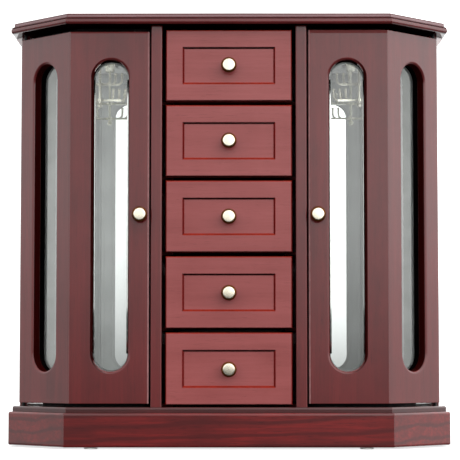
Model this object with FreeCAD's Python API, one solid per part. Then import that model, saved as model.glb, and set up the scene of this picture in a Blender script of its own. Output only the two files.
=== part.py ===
import FreeCAD, Part
import math
import os

from FreeCAD import Vector

# Table-top jewelry armoire: five drawers in the middle, a bent glass door with a
# compartment on each side, a stepped plinth and a moulded top board.
#
# Every size is in millimetres. The pieces are drawn in a working frame: x = 0 is the
# middle, y = 0 is the front plane of doors and drawers, +y goes to the back, z = 0 is
# the underside of the plinth. save() moves each piece to the row frame, whose origin
# is the middle of the bounding box on the surface that the feet stand on.

# ---- driving dimensions: case ----
WIDTH = 400.0            # over the plinth and the top board
OVERHANG = 9.0           # plinth and top board beyond the body, all round the front
FOLD_X = 141.5           # where the front turns into the 45 degree corner
BACK_Y = 161.0           # rear face of the case
PLINTH_H = 30.2
STEP_H = 5.0             # bottom board, the upper step of the base
STEP_IN = 3.5            # how far that step stands back
CEILING_Z = 375.1        # underside of the top board
NOSE_H = 6.6             # rounded lower part of the top board's edge
CAP_H = 3.4              # upper part of the same edge
CAP_IN = 2.8             # how far the upper part stands back
GROOVE_Z = (379.4, 380.3)    # fine groove round the same edge
GROOVE_DEEP = 1.3
CROWN_OUT = 7.0          # moulding under the top board, along the sides
CROWN_DROP = 9.3
CROWN_LIP = 1.2
CROWN_TOE = 1.0
CROWN_RETURN = 16.0      # length over which its front end tapers to the side panel
FOOT_T = 1.5
FOOT_R = 6.0
PLINTH_T = 15.0          # thickness of the plinth boards
SIDE_T = 7.0
BACK_T = 5.0
MIRROR_T = 3.0
PAD_T = 2.0              # velvet pad on the compartment floor
PAD_GAP = 0.5
WALL_IN = 59.5           # centre wall, face towards the drawers
WALL_OUT = 69.4          # centre wall, face towards the compartment
WALL_FRONT = 0.3

# ---- driving dimensions: drawers ----
DRAWERS = 5
DRAWER_TOP = 370.9
DRAWER_PITCH = 67.5
DRAWER_H = 63.9
DRAWER_HALF = 56.15
DRAWER_FRONT_T = 12.0
FIELD_MARGIN_X = 15.0    # plain border beside the sunk field
FIELD_MARGIN_Z = 15.4
FIELD_DEPTH = 1.3
TRAY_HALF = 55.6
TRAY_BACK = 146.0
TRAY_WALL = 6.0
TRAY_FLOOR = 3.0
TRAY_LIFT = 1.0          # tray floor above the drawer front's lower edge
TRAY_DROP = 9.0          # tray rim below the drawer front's upper edge
LINING_T = 1.2
RUNNER_W = 9.5
RUNNER_H = 2.6
RUNNER_GAP = 0.2
RUNNER_FRONT = 13.0
RUNNER_BACK = 152.0

# ---- driving dimensions: doors ----
DOOR_EDGE = 70.8         # inner upright edge of a door
DOOR_BOTTOM = 38.3
DOOR_TOP = {"left": 369.4, "right": 370.9}   # the left door is a little shorter
LEAF_T = 8.0
LINER_T = 8.0
SKIN_T = 1.0
LINER_INSET = 3.0        # liner stands back from the leaf's free edges
LINER_END = 62.0         # along the corner leaf
WINDOW_W = 31.6          # clear opening
WINDOW_Z = (66.6, 344.0)
WINDOW_X = 105.2         # centre of the front window
WINDOW_T = 35.2          # centre of the corner window, along the leaf from the fold
WINDOW_ROUND = 2.2       # rounded outer edge of the opening
SKIN_RIM = 1.2           # lining laps over the glass by this much
PANE_LAP = 3.8
PANE_T = 2.5
PIVOT_R = 1.5
PIVOT_CLEAR = 0.05
PIVOT_IN_BOARD = 4.0
PIVOT_IN_LEAF = 8.0

# ---- driving dimensions: metalwork ----
KNOB_R = 6.85
KNOB_FACE_R = 5.6
KNOB_OUT = 10.0
KNOB_SHANK_R = 2.0
DOOR_KNOB_X = 79.0
DOOR_KNOB_Z = 205.5
SPINDLE_X = 121.3
SPINDLE_Y = 85.0
SPINDLE_R = 1.3
SPINDLE_CLEAR = 0.05
SPINDLE_BOTTOM = 314.5
TIERS = [(334.0, (9.4, 14.6, 20.7)), (319.0, (12.6, 18.2, 24.0))]   # height, hook reaches
HUB_R = 3.6
HUB_T = 2.4
ARM_W = 2.4
ARM_T = 1.8
HOOK_WIRE_R = 1.0
HOOK_BEND = 4.5
HOOK_RISE = 10.0
CATCH_X = (75.0, 85.0)
CATCH_DEEP = 8.0
CATCH_H = 20.0
CATCH_GAP = 0.9          # between the closed door and the magnet
STRIKE_Z = (14.0, 5.0)   # below the door's upper edge
STRIKE_T = 0.6

# ---- worked out from the above ----
HALF = WIDTH / 2
SIDE_X = HALF - OVERHANG
FLOOR_Z = PLINTH_H + STEP_H
TOP_Z = CEILING_Z + NOSE_H + CAP_H
MITRE = math.tan(math.radians(22.5))
DOOR_T = LEAF_T + LINER_T + SKIN_T
END_R = LEAF_T / 2
PIVOT_X = SIDE_X - END_R
CORNER_LEN = (PIVOT_X - FOLD_X) * math.sqrt(2) + END_R
PIVOT_Y = (CORNER_LEN + END_R) / math.sqrt(2)
SIDE_FRONT = PIVOT_Y + END_R + 0.8
MIRROR_Y = BACK_Y - BACK_T - MIRROR_T
Y_MIDDLE = (BACK_Y - KNOB_OUT) / 2


def save(name, shape):
    moved = shape.copy()
    moved.translate(Vector(0, -Y_MIDDLE, FOOT_T))
    moved.exportStep("parts/" + name + ".step")


def box(x, y, z):
    return Part.makeBox(x[1] - x[0], y[1] - y[0], z[1] - z[0], Vector(x[0], y[0], z[0]))


def cylinder(radius, start, end):
    run = end - start
    return Part.makeCylinder(radius, run.Length, start, run)


def prism(points, z):
    corners = [Vector(px, py, z[0]) for px, py in points]
    face = Part.Face(Part.makePolygon(corners + corners[:1]))
    return face.extrude(Vector(0, 0, z[1] - z[0]))


def mirrored(shape):
    return shape.mirror(Vector(0, 0, 0), Vector(1, 0, 0))


def to_side(shape, side):
    return shape if side == "right" else mirrored(shape)


def soften(shape, radius, chosen):
    edges = [edge for edge in shape.Edges if chosen(edge)]
    return shape.makeFillet(radius, edges)


def all_points(edge, test):
    first, last = edge.ParameterRange
    places = [first, (first + last) / 2, last]
    return all(test(edge.valueAt(place)) for place in places)


def group(shapes):
    return Part.makeCompound(shapes)


def plan_outline(offset):
    """Front half-octagon of the case in plan, grown outwards by offset."""
    fold = FOLD_X + offset * MITRE
    side = SIDE_X + offset
    side_y = side - fold - offset
    right = [(fold, -offset), (side, side_y), (side, BACK_Y)]
    left = [(-px, py) for px, py in reversed(right)]
    return left + right


# ---- case ----

def moulded_slab(offset, z, radius_top, radius_bottom):
    slab = prism(plan_outline(offset), z)

    def outer(edge, height):
        return all_points(edge, lambda p: abs(p.z - height) < 0.01 and p.y < BACK_Y - 0.01
                          or abs(p.z - height) < 0.01 and abs(abs(p.x) - SIDE_X - offset) < 0.01)

    if radius_top:
        slab = soften(slab, radius_top, lambda edge: outer(edge, z[1]))
    if radius_bottom:
        slab = soften(slab, radius_bottom, lambda edge: outer(edge, z[0]))
    return slab


def pivot_pin(side, end):
    if end == "top":
        z = (DOOR_TOP[side] - PIVOT_IN_LEAF, CEILING_Z + PIVOT_IN_BOARD)
    else:
        z = (FLOOR_Z - PIVOT_IN_BOARD, DOOR_BOTTOM + PIVOT_IN_LEAF)
    pin = cylinder(PIVOT_R, Vector(PIVOT_X, PIVOT_Y, z[0]), Vector(PIVOT_X, PIVOT_Y, z[1]))
    return to_side(pin, side)


def top_board():
    nose = moulded_slab(OVERHANG, (CEILING_Z, CEILING_Z + NOSE_H), 3.0, 2.4)
    cap = moulded_slab(OVERHANG - CAP_IN, (CEILING_Z + NOSE_H, TOP_Z), 1.4, 0)
    board = nose.fuse(cap)
    around = prism(plan_outline(OVERHANG + 1.0), GROOVE_Z)
    board = board.cut(around.cut(prism(plan_outline(OVERHANG - GROOVE_DEEP), GROOVE_Z)))
    for side in ("left", "right"):
        board = board.cut(pivot_pin(side, "top"))
    return board


def bottom_board():
    board = moulded_slab(OVERHANG - STEP_IN, (PLINTH_H, FLOOR_Z), 1.8, 0)
    for side in ("left", "right"):
        board = board.cut(pivot_pin(side, "bottom"))
    return board


def plinth_board(corners):
    board = prism(corners, (0, PLINTH_H))

    def outside(point):
        gap_front = point.y + OVERHANG
        gap_side = HALF - abs(point.x)
        gap_corner = (point.y - (abs(point.x) - FOLD_X - OVERHANG * math.sqrt(2))) / math.sqrt(2)
        return min(gap_front, gap_side, gap_corner) < 0.01

    def long_outer_edge(edge):
        level = all_points(edge, lambda p: abs(p.z) < 0.01 or abs(p.z - PLINTH_H) < 0.01)
        return level and all_points(edge, outside)

    return soften(board, 2.0, long_outer_edge)


def plinth():
    outer = plan_outline(OVERHANG)[3:]
    inner = plan_outline(OVERHANG - PLINTH_T)[3:]
    front = [(-outer[0][0], outer[0][1]), outer[0], inner[0], (-inner[0][0], inner[0][1])]
    corner = [outer[0], outer[1], inner[1], inner[0]]
    side = [outer[1], outer[2], (inner[2][0], BACK_Y), inner[1]]
    save("plinth_front", plinth_board(front))
    for name in ("left", "right"):
        save("plinth_corner_" + name, to_side(plinth_board(corner), name))
        save("plinth_side_" + name, to_side(plinth_board(side), name))
    reach = HALF - PLINTH_T
    save("plinth_back", box((-reach, reach), (BACK_Y - PLINTH_T, BACK_Y), (0, PLINTH_H)))


def feet():
    front_x = FOLD_X - 20
    front_y = PLINTH_T / 2 - OVERHANG
    side_x = HALF - PLINTH_T / 2
    back_y = BACK_Y - 15
    places = [(front_x, front_y), (-front_x, front_y), (side_x, back_y), (-side_x, back_y)]
    return group([cylinder(FOOT_R, Vector(px, py, -FOOT_T), Vector(px, py, 0)) for px, py in places])


def side_panel():
    panel = box((SIDE_X - SIDE_T, SIDE_X), (SIDE_FRONT, BACK_Y - BACK_T), (FLOOR_Z, CEILING_Z))
    return soften(panel, 1.0, lambda edge: all_points(
        edge, lambda p: abs(p.y - SIDE_FRONT) < 0.01 and abs(p.x - SIDE_X) < 0.01))


def centre_wall():
    wall = box((WALL_IN, WALL_OUT), (WALL_FRONT, BACK_Y - BACK_T), (FLOOR_Z, CEILING_Z))
    return soften(wall, 1.2, lambda edge: all_points(edge, lambda p: abs(p.y - WALL_FRONT) < 0.01)
                  and abs(edge.tangentAt(edge.FirstParameter).z) > 0.9)


def back_panel():
    return box((-SIDE_X, SIDE_X), (BACK_Y - BACK_T, BACK_Y), (FLOOR_Z, CEILING_Z))


def mirror_pane():
    x = (WALL_OUT + 0.3, SIDE_X - SIDE_T - 0.3)
    return box(x, (MIRROR_Y, MIRROR_Y + MIRROR_T), (FLOOR_Z + 1.0, CEILING_Z - 1.0))


def crown_moulding():
    out = SIDE_X + CROWN_OUT
    section = [Vector(SIDE_X, SIDE_FRONT, CEILING_Z), Vector(out, SIDE_FRONT, CEILING_Z),
               Vector(out, SIDE_FRONT, CEILING_Z - CROWN_LIP),
               Vector(SIDE_X + CROWN_TOE, SIDE_FRONT, CEILING_Z - CROWN_DROP),
               Vector(SIDE_X, SIDE_FRONT, CEILING_Z - CROWN_DROP)]
    face = Part.Face(Part.makePolygon(section + section[:1]))
    moulding = face.extrude(Vector(0, BACK_Y - SIDE_FRONT, 0))
    taper = [(SIDE_X, SIDE_FRONT), (out + 1.0, SIDE_FRONT),
             (out + 1.0, SIDE_FRONT + CROWN_RETURN * (CROWN_OUT + 1.0) / CROWN_OUT)]
    return moulding.cut(prism(taper, (CEILING_Z - CROWN_DROP - 1.0, CEILING_Z + 1.0)))


def floor_pad():
    """Velvet pad on the compartment floor, cut back at the corner to clear the door."""
    x = (WALL_OUT + PAD_GAP, SIDE_X - SIDE_T - PAD_GAP)
    front = DOOR_T + 3 * PAD_GAP
    corner_line = FOLD_X - DOOR_T * math.sqrt(2) - 2.0
    corners = [(x[0], front), (corner_line + front, front), (x[1], x[1] - corner_line),
               (x[1], MIRROR_Y - 0.2), (x[0], MIRROR_Y - 0.2)]
    return prism(corners, (FLOOR_Z, FLOOR_Z + PAD_T))


def runners():
    strips = []
    for number in range(DRAWERS):
        top = DRAWER_TOP - number * DRAWER_PITCH - DRAWER_H + TRAY_LIFT - RUNNER_GAP
        z = (top - RUNNER_H, top)
        strip = box((WALL_IN - RUNNER_W, WALL_IN), (RUNNER_FRONT, RUNNER_BACK), z)
        strips += [strip, mirrored(strip)]
    return group(strips)


def catch_magnets():
    y = (DOOR_T + CATCH_GAP, DOOR_T + CATCH_GAP + CATCH_DEEP)
    block = box(CATCH_X, y, (CEILING_Z - CATCH_H, CEILING_Z))
    return group([block, mirrored(block)])


# ---- drawers ----

def knob_profile(face_y):
    """Half section of a mushroom knob, as (radius, y); it stands out towards -y."""
    return [(0, 0), (4.4, 0), (4.4, -0.8), (3.0, -1.8), (2.9, -4.6), (4.2, -6.2),
            (KNOB_R - 0.5, -6.9), (KNOB_R, -7.5), (KNOB_R, -8.3), (KNOB_R - 0.4, -8.9),
            (KNOB_FACE_R, -9.3), (KNOB_FACE_R - 0.3, face_y + 0.2), (0, face_y)]


def turned(profile, place):
    points = [Vector(radius, y, 0) for radius, y in profile]
    face = Part.Face(Part.makePolygon(points + points[:1]))
    solid = face.revolve(Vector(0, 0, 0), Vector(0, 1, 0), 360)
    solid.translate(place)
    return solid


def knob(x, z, base_y, behind, head_r):
    """Knob with the screw that holds it: behind is how deep the screw head sits."""
    head = turned(knob_profile(-KNOB_OUT - base_y), Vector(x, base_y, z))
    shank = cylinder(KNOB_SHANK_R, Vector(x, base_y, z), Vector(x, behind, z))
    screw_head = cylinder(head_r, Vector(x, behind, z), Vector(x, behind + 1.6, z))
    return head.fuse([shank, screw_head])


def drawer_front(z):
    board = box((-DRAWER_HALF, DRAWER_HALF), (0, DRAWER_FRONT_T), z)
    board = soften(board, 1.0, lambda edge: all_points(edge, lambda p: abs(p.y) < 0.01))
    rings = []
    for depth, inset in ((-0.1, -0.1), (FIELD_DEPTH, FIELD_DEPTH)):
        half = DRAWER_HALF - FIELD_MARGIN_X - inset
        low = z[0] + FIELD_MARGIN_Z + inset
        high = z[1] - FIELD_MARGIN_Z - inset
        ring = [Vector(-half, depth, low), Vector(half, depth, low),
                Vector(half, depth, high), Vector(-half, depth, high)]
        rings.append(Part.makePolygon(ring + ring[:1]))
    return board.cut(Part.makeLoft(rings, True, True))


def open_box(x, y, z, wall, floor):
    outer = box(x, y, z)
    inner = box((x[0] + wall, x[1] - wall), (y[0] + wall, y[1] - wall), (z[0] + floor, z[1] + 1))
    return outer.cut(inner)


def drawer(number):
    top = DRAWER_TOP - (number - 1) * DRAWER_PITCH
    z = (top - DRAWER_H, top)
    middle = (z[0] + z[1]) / 2 - 0.5
    tray_z = (z[0] + TRAY_LIFT, z[1] - TRAY_DROP)
    tray_y = (DRAWER_FRONT_T, TRAY_BACK)
    tray_x = (-TRAY_HALF, TRAY_HALF)
    screw_seat = DRAWER_FRONT_T + 2.5
    hole = cylinder(KNOB_SHANK_R, Vector(0, 0, middle), Vector(0, screw_seat + 1, middle))
    seat = cylinder(4.0, Vector(0, screw_seat, middle),
                    Vector(0, DRAWER_FRONT_T + TRAY_WALL, middle))
    tray = open_box(tray_x, tray_y, tray_z, TRAY_WALL, TRAY_FLOOR)
    lining_x = (tray_x[0] + TRAY_WALL, tray_x[1] - TRAY_WALL)
    lining_y = (tray_y[0] + TRAY_WALL, tray_y[1] - TRAY_WALL)
    lining_z = (tray_z[0] + TRAY_FLOOR, tray_z[1] - 1.5)
    save("drawer_front_%d" % number, drawer_front(z).cut(hole))
    save("drawer_tray_%d" % number, tray.cut(hole.fuse(seat)))
    save("drawer_lining_%d" % number,
         open_box(lining_x, lining_y, lining_z, LINING_T, LINING_T))
    save("drawer_knob_%d" % number, knob(0, middle, FIELD_DEPTH, screw_seat, 3.6))


# ---- doors, drawn for the right-hand side ----

def window(x, y, z, grow=0.0):
    """Upright opening with half-round ends; the cutter runs from y[0] to y[1]."""
    radius = WINDOW_W / 2 + grow
    low = Vector(x, y[0], z[0] - grow + radius)
    high = Vector(x, y[0], z[1] + grow - radius)
    across = Vector(0, y[1] - y[0], 0)
    middle = box((x - radius, x + radius), y, (low.z, high.z))
    return middle.fuse([cylinder(radius, low, low + across),
                        cylinder(radius, high, high + across)]).removeSplitter()


def turn_corner(shape):
    """From flat, with the fold at x = 0, to the 45 degree corner."""
    turned_shape = shape.copy()
    turned_shape.rotate(Vector(0, 0, 0), Vector(0, 0, 1), 45)
    turned_shape.translate(Vector(FOLD_X, 0, 0))
    return turned_shape


def framed(board, x):
    """Cuts the window and rounds its front edge."""
    board = board.cut(window(x, (-1, LEAF_T + 1), WINDOW_Z))
    reach = WINDOW_W / 2 + 0.1
    return soften(board, WINDOW_ROUND, lambda edge: all_points(
        edge, lambda p: abs(p.y) < 0.01 and abs(p.x - x) < reach
        and WINDOW_Z[0] - 0.1 < p.z < WINDOW_Z[1] + 0.1))


def front_leaf(z):
    corners = [(DOOR_EDGE, 0), (FOLD_X, 0), (FOLD_X - LEAF_T * MITRE, LEAF_T), (DOOR_EDGE, LEAF_T)]
    leaf = framed(prism(corners, z), WINDOW_X)
    leaf = soften(leaf, 1.6, lambda edge: all_points(
        edge, lambda p: abs(p.y) < 0.01 and abs(p.x - DOOR_EDGE) < 0.01))
    screw = cylinder(KNOB_SHANK_R, Vector(DOOR_KNOB_X, -1, DOOR_KNOB_Z),
                     Vector(DOOR_KNOB_X, DOOR_T, DOOR_KNOB_Z))
    return leaf.cut(screw)


def corner_leaf(z):
    corners = [(0, 0), (CORNER_LEN, 0), (CORNER_LEN, LEAF_T), (LEAF_T * MITRE, LEAF_T)]
    leaf = framed(prism(corners, z), WINDOW_T)
    end = cylinder(END_R, Vector(CORNER_LEN, END_R, z[0]), Vector(CORNER_LEN, END_R, z[1]))
    leaf = leaf.fuse(end).removeSplitter()
    for low, high in ((z[0] - 1, z[0] + PIVOT_IN_LEAF + 0.5), (z[1] - PIVOT_IN_LEAF - 0.5, z[1] + 1)):
        leaf = leaf.cut(cylinder(PIVOT_R + PIVOT_CLEAR, Vector(CORNER_LEN, END_R, low),
                                 Vector(CORNER_LEN, END_R, high)))
    return turn_corner(leaf)


def door_layer(depth, z, cut_front, cut_corner):
    """The two mitred boards of one layer behind the leaves, between two depths."""
    near, far = depth
    front = prism([(DOOR_EDGE + LINER_INSET, near), (FOLD_X - near * MITRE, near),
                   (FOLD_X - far * MITRE, far), (DOOR_EDGE + LINER_INSET, far)], z)
    corner = prism([(near * MITRE, near), (LINER_END, near), (LINER_END, far),
                    (far * MITRE, far)], z)
    screw = cylinder(KNOB_SHANK_R, Vector(DOOR_KNOB_X, 0, DOOR_KNOB_Z),
                     Vector(DOOR_KNOB_X, DOOR_T + 1, DOOR_KNOB_Z))
    return [front.cut(cut_front).cut(screw), turn_corner(corner.cut(cut_corner))]


def pane(x, clearance):
    half = WINDOW_W / 2 + PANE_LAP - clearance
    depth = LEAF_T + LINER_T
    z = (WINDOW_Z[0] - PANE_LAP + clearance, WINDOW_Z[1] + PANE_LAP - clearance)
    return box((x - half, x + half), (depth - PANE_T, depth), z)


def door(side):
    z = (DOOR_BOTTOM, DOOR_TOP[side])
    inner_z = (z[0] + LINER_INSET, z[1] - LINER_INSET)
    liner_y = (LEAF_T, LEAF_T + LINER_T)
    skin_y = (LEAF_T + LINER_T, DOOR_T)
    through = (0, DOOR_T + 1)
    liner = door_layer(liner_y, inner_z,
                       window(WINDOW_X, through, WINDOW_Z).fuse(pane(WINDOW_X, 0)),
                       window(WINDOW_T, through, WINDOW_Z).fuse(pane(WINDOW_T, 0)))
    skin = door_layer(skin_y, inner_z, window(WINDOW_X, through, WINDOW_Z, -SKIN_RIM),
                      window(WINDOW_T, through, WINDOW_Z, -SKIN_RIM))
    panes = [pane(WINDOW_X, 0.2), turn_corner(pane(WINDOW_T, 0.2))]
    strike = box(CATCH_X, (DOOR_T, DOOR_T + STRIKE_T), (z[1] - STRIKE_Z[0], z[1] - STRIKE_Z[1]))
    save("door_front_leaf_" + side, to_side(front_leaf(z), side))
    save("door_corner_leaf_" + side, to_side(corner_leaf(z), side))
    save("door_liner_" + side, to_side(group(liner), side))
    save("door_lining_" + side, to_side(group(skin), side))
    save("door_glass_" + side, to_side(group(panes), side))
    save("door_strike_" + side, to_side(strike, side))
    save("door_knob_" + side,
         to_side(knob(DOOR_KNOB_X, DOOR_KNOB_Z, 0.0, DOOR_T, 3.2), side))


# ---- necklace hook stands ----

def hook(reach, level):
    """Wire hook: out of the arm, round a quarter turn and up to a ball tip."""
    turn = Vector(reach - HOOK_BEND, 0, level)
    rise = Vector(reach, 0, level + HOOK_BEND)
    tip = Vector(reach, 0, level + HOOK_RISE)
    slant = HOOK_BEND * math.sin(math.pi / 4)
    through = Vector(reach - HOOK_BEND + slant, 0, level + HOOK_BEND - slant)
    path = Part.Wire([Part.Arc(turn, through, rise).toShape(),
                      Part.LineSegment(rise, tip).toShape()])
    section = Part.Wire([Part.Circle(turn, Vector(1, 0, 0), HOOK_WIRE_R).toShape()])
    wire = path.makePipeShell([section], True, True)
    return wire.fuse(Part.makeSphere(HOOK_WIRE_R + 0.35, tip))


def bushing_section():
    """Half section of the ceiling bushing: a cup that traps the spindle's head."""
    bore = SPINDLE_R + SPINDLE_CLEAR
    low = CEILING_Z - 9.0
    return [(bore, low), (4.2, low), (4.8, low + 1.0), (4.8, CEILING_Z - 1.5), (6.5, CEILING_Z - 1.0),
            (6.5, CEILING_Z), (0, CEILING_Z), (0, CEILING_Z - 2.5), (3.0, CEILING_Z - 2.5),
            (3.0, CEILING_Z - 5.6), (bore, CEILING_Z - 5.6)]


def upright_turned(section):
    points = [Vector(radius, 0, z) for radius, z in section]
    face = Part.Face(Part.makePolygon(points + points[:1]))
    solid = face.revolve(Vector(0, 0, 0), Vector(0, 0, 1), 360)
    solid.translate(Vector(SPINDLE_X, SPINDLE_Y, 0))
    return solid


def carousel():
    """Spindle with two tiers of level arms; the hooks of a tier stand in one row."""
    at = Vector(SPINDLE_X, SPINDLE_Y, 0)
    head_z = CEILING_Z - 5.0
    parts = [cylinder(2.6, at + Vector(0, 0, head_z), at + Vector(0, 0, head_z + 2.0))]
    for level, reaches in TIERS:
        parts.append(cylinder(HUB_R, at + Vector(0, 0, level - HUB_T / 2),
                              at + Vector(0, 0, level + HUB_T / 2)))
        arm = reaches[-1] - HOOK_BEND + 0.5
        bar = box((-arm, arm), (-ARM_W / 2, ARM_W / 2), (level - ARM_T / 2, level + ARM_T / 2))
        hooks = [hook(reach, level) for reach in reaches]
        for piece in [bar] + hooks + [mirrored(one) for one in hooks]:
            piece.translate(at)
            parts.append(piece)
    finial = Part.makeSphere(2.4, at + Vector(0, 0, SPINDLE_BOTTOM))
    spindle = cylinder(SPINDLE_R, at + Vector(0, 0, SPINDLE_BOTTOM), at + Vector(0, 0, head_z + 1.0))
    return spindle.fuse(parts + [finial])


# ---- the whole armoire ----

def case():
    plinth()
    save("feet", feet())
    save("bottom_board", bottom_board())
    save("top_board", top_board())
    save("back_panel", back_panel())
    save("drawer_runners", runners())
    save("catch_magnets", catch_magnets())
    pins = [pivot_pin(side, end) for side in ("left", "right") for end in ("top", "bottom")]
    save("door_pins", group(pins))
    bushing = upright_turned(bushing_section())
    save("carousel_bushings", group([bushing, mirrored(bushing)]))
    for side in ("left", "right"):
        save("side_panel_" + side, to_side(side_panel(), side))
        save("centre_wall_" + side, to_side(centre_wall(), side))
        save("mirror_" + side, to_side(mirror_pane(), side))
        save("crown_moulding_" + side, to_side(crown_moulding(), side))
        save("floor_pad_" + side, to_side(floor_pad(), side))


os.makedirs("parts", exist_ok=True)
case()
for drawer_number in range(1, DRAWERS + 1):
    drawer(drawer_number)
for door_side in ("left", "right"):
    door(door_side)
    save("carousel_" + door_side, to_side(carousel(), door_side))
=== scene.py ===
import math

import bpy
from mathutils import Euler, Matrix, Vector


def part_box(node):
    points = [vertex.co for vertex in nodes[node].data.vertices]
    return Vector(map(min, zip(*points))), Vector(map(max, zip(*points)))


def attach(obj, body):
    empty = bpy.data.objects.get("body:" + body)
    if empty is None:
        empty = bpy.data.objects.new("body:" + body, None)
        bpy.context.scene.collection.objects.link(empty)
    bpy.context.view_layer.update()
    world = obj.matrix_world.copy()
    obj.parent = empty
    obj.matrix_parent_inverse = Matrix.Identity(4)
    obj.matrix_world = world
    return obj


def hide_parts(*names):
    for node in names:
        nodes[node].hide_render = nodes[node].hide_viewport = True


# Looks of the table-top jewelry armoire. All sizes are in metres, in the row frame:
# x to the right, y to the back, z up, the floor at z = 0.

MM = 0.001
SIDES = ("left", "right")
SIGN = {"left": -1, "right": 1}         # of x on that side
DRAWERS = range(1, 6)

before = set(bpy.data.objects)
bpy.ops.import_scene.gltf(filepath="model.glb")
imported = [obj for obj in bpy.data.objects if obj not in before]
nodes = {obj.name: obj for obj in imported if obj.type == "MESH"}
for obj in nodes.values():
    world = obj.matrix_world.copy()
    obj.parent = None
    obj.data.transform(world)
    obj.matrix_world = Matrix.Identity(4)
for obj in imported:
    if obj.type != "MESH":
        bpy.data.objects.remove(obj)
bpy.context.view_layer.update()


# ---------------------------------------------------------------- node graphs

class Graph:
    """One material's node tree, with short calls to add and link nodes."""

    def __init__(self, name):
        self.material = bpy.data.materials.new(name)
        self.material.use_nodes = True
        self.tree = self.material.node_tree
        self.tree.nodes.clear()

    def put(self, node, key, value):
        socket = node.inputs[key]
        if isinstance(value, bpy.types.NodeSocket):
            self.tree.links.new(value, socket)
        else:
            socket.default_value = value

    def node(self, kind, inputs=None, **settings):
        made = self.tree.nodes.new("ShaderNode" + kind)
        for key, value in settings.items():
            setattr(made, key, value)
        for key, value in (inputs or {}).items():
            self.put(made, key, value)
        return made

    def math(self, operation, a, b=0.0, c=0.0, clamp=False):
        made = self.node("Math", {0: a, 1: b, 2: c}, operation=operation, use_clamp=clamp)
        return made.outputs[0]

    def noise(self, vector, scale, detail=3.0, rough=0.55, distortion=0.0):
        made = self.node("TexNoise", {"Vector": vector, "Scale": scale, "Detail": detail,
                                      "Roughness": rough, "Distortion": distortion})
        return made.outputs["Fac"]

    def place(self, stretch=(1, 1, 1), turn=(0, 0, 0)):
        """Position on the piece, stretched along its axes."""
        spot = self.node("TexCoord").outputs["Object"]
        made = self.node("Mapping", {"Vector": spot, "Scale": stretch, "Rotation": turn})
        return made.outputs["Vector"]

    def spread(self, value, low, high, out_low=0.0, out_high=1.0):
        """Maps low..high to out_low..out_high, clamped."""
        made = self.node("MapRange", {"Value": value, "From Min": low, "From Max": high,
                                      "To Min": out_low, "To Max": out_high})
        return made.outputs["Result"]

    def mix(self, share, a, b, blend="MIX"):
        made = self.node("Mix", data_type="RGBA", blend_type=blend)
        for key, value in ((0, share), (6, a), (7, b)):
            if key and not isinstance(value, bpy.types.NodeSocket):
                value = (*value, 1.0)
            self.put(made, key, value)
        return made.outputs[2]

    def bump(self, height, strength, distance, normal=None):
        inputs = {"Height": height, "Strength": strength, "Distance": distance}
        if normal is not None:
            inputs["Normal"] = normal
        return self.node("Bump", inputs).outputs["Normal"]

    def edges(self, radius):
        """(share of edge here, normal rounded over that radius, how far it points up)."""
        round_normal = self.node("Bevel", {"Radius": radius}, samples=4).outputs["Normal"]
        flat_normal = self.node("NewGeometry").outputs["Normal"]
        along = self.node("VectorMath", {0: round_normal, 1: flat_normal},
                          operation="DOT_PRODUCT").outputs["Value"]
        upward = self.node("SeparateXYZ", {0: round_normal}).outputs["Z"]
        return self.spread(along, 0.996, 0.965), round_normal, upward

    def finish(self, inputs):
        shader = self.node("BsdfPrincipled", inputs)
        output = self.node("OutputMaterial")
        self.tree.links.new(shader.outputs["BSDF"], output.inputs["Surface"])
        return self.material


# ---------------------------------------------------------------- materials

ALONG_Z = (1.0, 1.0, 0.05)
ALONG_X = (0.05, 1.0, 1.0)
ALONG_Y = (1.0, 0.05, 1.0)
LINE_SOFT = 0.15 * MM           # blur of a painted line's lower side


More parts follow.
